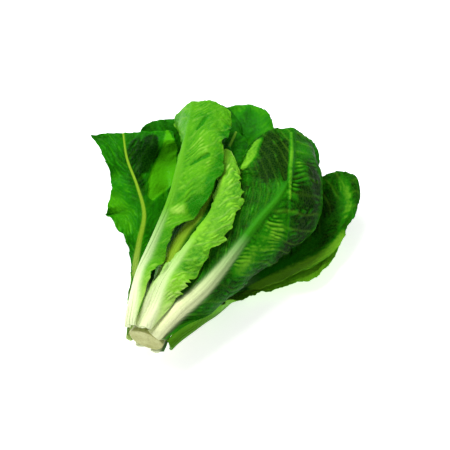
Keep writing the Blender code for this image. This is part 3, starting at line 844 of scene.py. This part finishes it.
def leaf_material(name, look):
    """Blade from dark through middle to light green, paler on veins, with a fine net, painted light on
    crests and painted shade in hollows.
    """
    paint = Paint(name)
    dark, middle, light = look.shades
    place = paint.attribute("over_blade", out="Vector")
    rib, vein = paint.attribute("rib"), paint.attribute("vein")
    swelling, tone = paint.attribute("swelling"), paint.attribute("tone")
    edge, along = paint.attribute("edge"), paint.attribute("along")
    cloud = paint.noise(place, CLOUD_SCALE, 3.0)
    fleck = paint.noise(place, FLECK_SCALE, 3.0)
    net = paint.node(
        "ShaderNodeTexVoronoi", {"feature": "DISTANCE_TO_EDGE"}, {"Vector": place, "Scale": NET_SCALE})
    lines = 1 - paint.clamp(net * NET_SHARPNESS)
    blade = look.tone + tone + (cloud - 0.5) * CLOUD_TONE + (fleck - 0.5) * FLECK_TONE
    # painted light and shade that follow the pleats and blisters
    blade = blade + swelling + edge * EDGE_TONE
    blade = blade + paint.clamp(1 - along * PALE_BASE_PACE) * look.pale_base
    colour = paint.mix(paint.clamp(blade * 2), dark, middle)
    colour = paint.mix(paint.clamp(blade * 2 - 1), colour, light)
    colour = paint.mix(paint.clamp(vein * VEIN_TINT + lines * NET_TINT), colour, light)
    greened = paint.clamp(along * RIB_GREENS_PACE - RIB_GREENS_LATE)
    rib_colour = paint.mix(greened, look.rib_base, look.rib_tip)
    colour = paint.mix(paint.clamp(rib * RIB_COVER), colour, rib_colour)
    roughness = paint.clamp(look.gloss + (fleck - 0.5) * GLOSS_FLECKS, 0.2, 0.8)
    height = (1 - lines) * 0.5 + fleck * 0.5
    paint.shader.inputs["Specular IOR Level"].default_value = SPECULAR
    return paint.finish(colour, roughness, height, LEAF_BUMP)


def stem_material():
    """Cut flesh: olive-white, browning in specks."""
    paint = Paint("cut stem")
    place = paint.node("ShaderNodeTexCoord", out="Object")
    cloud = paint.noise(place, CUT_CLOUD_SCALE, 4.0)
    speck = paint.noise(place, CUT_SPECK_SCALE, 3.0)
    colour = paint.mix(paint.clamp(cloud * 1.6 - 0.4), OLIVE_FLESH, PALE_FLESH)
    colour = paint.mix(paint.clamp(speck * 2 - 1.0), colour, BROWN_FLESH)
    return paint.finish(colour, CUT_ROUGHNESS + (speck - 0.5) * 0.3, cloud + speck * 0.4, CUT_BUMP)


# Making of the pieces

def stem_points():
    """Points all over the stem and just in front of its cut end, for the leaves to keep clear of."""
    radius, y = np.array(STEM_PROFILE).T
    fine = np.linspace(y[0] - 2, y[-1], 60)
    turn = np.linspace(0, 2 * math.pi, 181)
    r = np.interp(fine, y, radius)[:, None]
    x = r * np.cos(turn)
    z = STEM_CENTRE_Z + r * np.sin(turn)
    return np.stack([x, np.broadcast_to(fine[:, None], x.shape), z], axis=-1)


def grid_mesh(name, points, notes, wrap=False):
    """A mesh of four-sided faces over a grid of points, with what the paint needs at each point."""
    rows, columns = points.shape[:2]
    index = np.arange(rows * columns).reshape(rows, columns)
    if wrap:
        index = np.hstack([index, index[:, :1]])
    faces = np.stack([index[:-1, :-1], index[:-1, 1:], index[1:, 1:], index[1:, :-1]], axis=-1)
    mesh = bpy.data.meshes.new(name)
    mesh.from_pydata(((points.reshape(-1, 3) - ORIGIN) * MM).tolist(), [], faces.reshape(-1, 4).tolist())
    for key, values in notes.items():
        kind, slot = ("FLOAT_VECTOR", "vector") if values.ndim == 3 else ("FLOAT", "value")
        stored = mesh.attributes.new(key, kind, "POINT")
        stored.data.foreach_set(slot, np.ascontiguousarray(values, np.float32).ravel())
    mesh.shade_smooth()
    return mesh


def declare(piece, node):
    """Puts a piece in the scene in the place of the solid of its node."""
    bpy.context.scene.collection.objects.link(piece)
    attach(piece, "root")
    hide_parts(node)


def room_below(sheet):
    """How thick each point of a sheet may be along its normal before it reaches the table."""
    down = -sheet_normals(sheet)[..., 2]
    room = (sheet[..., 2] - ORIGIN[2]) / np.maximum(down, 1e-3)
    return np.where(down > 0, np.maximum(room, THIN_BLADE), np.inf)


def make_leaf(leaf, look, sheet, thick, notes):
    """The leaf as a sheet thickened to its back, thick at the rib and thin over the blade."""
    mesh = grid_mesh(leaf.name + "_grown", sheet, notes)
    piece = bpy.data.objects.new(mesh.name, mesh)
    group = piece.vertex_groups.new(name="thickness")
    most = thick.max()
    shares = np.clip(np.minimum(thick, room_below(sheet)) / most, 0.02, 1).ravel()
    levels = np.round(shares * THICKNESS_LEVELS).astype(int)
    for level in np.unique(levels):
        group.add(np.flatnonzero(levels == level).tolist(), level / THICKNESS_LEVELS, "REPLACE")
    shell = piece.modifiers.new("leaf thickness", "SOLIDIFY")
    shell.thickness = most * MM
    shell.offset = 1
    shell.vertex_group = group.name
    mesh.materials.append(leaf_material(leaf.name, look))
    declare(piece, leaf.name)


def make_stem():
    """The stem with its slightly domed cut end, faintly ribbed where leaves were attached."""
    turn = np.linspace(0, 2 * math.pi, STEM_TURNS, endpoint=False)
    radius, y = np.array(STEM_PROFILE).T
    shares = np.linspace(0.03, 0.94, CUT_RINGS)
    rings = [(radius[0] * share, y[0] + CUT_DOME * (1 - share)) for share in shares]
    rings.append((radius[0] * 0.985, y[0] + 0.15))
    rings += [(np.interp(at, y, radius), at) for at in np.linspace(y[0] + 0.8, y[-1], STEM_RINGS)]
    ribbing = 1 + 0.02 * np.sin(5 * turn + 0.4) + 0.012 * np.sin(11 * turn)
    points = []
    for ring_radius, ring_y in rings:
        out = ring_radius * ribbing
        ring = (out * np.cos(turn), np.full(STEM_TURNS, ring_y), STEM_CENTRE_Z + out * np.sin(turn))
        points.append(np.stack(ring, axis=-1))
    mesh = grid_mesh("stem_grown", np.array(points), {}, wrap=True)
    bm = bmesh.new()
    bm.from_mesh(mesh)
    bmesh.ops.holes_fill(bm, edges=[edge for edge in bm.edges if edge.is_boundary], sides=0)
    bmesh.ops.recalc_face_normals(bm, faces=bm.faces)
    bm.to_mesh(mesh)
    bm.free()
    mesh.materials.append(stem_material())
    declare(bpy.data.objects.new("stem_grown", mesh), "stem")


def make_head():
    """Lays every leaf as its solid is laid, then grows it finely and eases it clear of the grown ones."""
    make_stem()
    piles = {up: Pile(up, CELL) for up in (1, -1)}
    fine_piles = {up: Pile(up, FINE_CELL) for up in (1, -1)}
    for pile in (*piles.values(), *fine_piles.values()):
        pile.add(stem_points())
    for seed, leaf in enumerate(LEAVES):
        look = LOOKS[leaf.name]
        up = 1 if math.sin(math.radians(leaf.back[1])) > 0 else -1
        coarse_rows = np.linspace(0, 1, leaf.rows)
        sheet, thick, _, _ = leaf_sheet(leaf, coarse_rows, COLUMNS)
        plain = keep_side(sheet, up)
        laid = lay(plain, thick, piles[up])
        move = (laid - plain)[..., 2]
        rows, columns = (np.linspace(low, 1, count) for low, count in zip((0, -1), look.mesh))
        sheet, thick, sideways, length = leaf_sheet(leaf, rows, columns, look)
        sheet = keep_side(sheet, up)
        move = np.stack([np.interp(columns, COLUMNS, row) for row in through(move, rows)])
        sheet[..., 2] += soften(move, MOVE_SOFTENED)
        height, notes = grow(leaf, look, rows, columns, sideways, length, seed)
        sheet = sheet + sheet_normals(sheet) * height[..., None]
        thick = THIN_BLADE + np.maximum(thick - BLADE, 0)
        sheet = lay_fine(sheet, thick, fine_piles[up])
        sheet[..., 2] = np.maximum(sheet[..., 2], ORIGIN[2] + PRESSED * thick)
        make_leaf(leaf, look, sheet, thick, notes)


# Floor, light and camera

def make_room():
    """A pale floor, a big soft light from the upper left and a white surround."""
    mesh = bpy.data.meshes.new("floor")
    corners = [(x * FLOOR_HALF, y * FLOOR_HALF, 0) for x, y in ((-1, -1), (1, -1), (1, 1), (-1, 1))]
    mesh.from_pydata(corners, [], [(0, 1, 2, 3)])
    paint = Paint("white paper")
    paint.put(paint.shader.inputs["Base Color"], PAPER)
    paint.put(paint.shader.inputs["Roughness"], 0.9)
    paint.put(paint.shader.inputs["Emission Color"], (1.0, 1.0, 1.0))
    paint.put(paint.shader.inputs["Emission Strength"], FLOOR_GLOW)
    mesh.materials.append(paint.material)
    floor = bpy.data.objects.new("floor", mesh)
    floor.location.z = -FLOOR_DROP
    bpy.context.scene.collection.objects.link(floor)
    world = bpy.data.worlds.new("white surround")
    world.use_nodes = True
    world.node_tree.nodes["Background"].inputs["Color"].default_value = (1, 1, 1, 1)
    world.node_tree.nodes["Background"].inputs["Strength"].default_value = WORLD_LIGHT
    bpy.context.scene.world = world
    lamp = bpy.data.lights.new("key", "AREA")
    lamp.energy = KEY_POWER
    lamp.size = KEY_SIZE
    key = bpy.data.objects.new("key", lamp)
    key.location = KEY_PLACE
    aim(key, KEY_TARGET)
    bpy.context.scene.collection.objects.link(key)


def aim(obj, target):
    """Turns a lamp or a camera to look at a point, upright."""
    way = Vector(target) - obj.location
    obj.rotation_euler = way.to_track_quat("-Z", "Y").to_euler()


def make_camera():
    """The camera looks down from the right of the cut end, as in the photograph."""
    azimuth, elevation = math.radians(CAMERA_AZIMUTH), math.radians(CAMERA_ELEVATION)
    target = (np.array(CAMERA_TARGET) - ORIGIN) * MM
    level = math.cos(elevation)
    away = np.array((math.sin(azimuth) * level, -math.cos(azimuth) * level, math.sin(elevation)))
    lens = bpy.data.cameras.new("camera")
    lens.sensor_width = SENSOR
    lens.lens = LENS
    camera = bpy.data.objects.new("camera", lens)
    camera.location = target + away * CAMERA_DISTANCE
    aim(camera, target)
    bpy.context.scene.collection.objects.link(camera)
    bpy.context.scene.camera = camera


bpy.context.scene.view_settings.view_transform = "Standard"
make_camera()
make_room()
make_head()
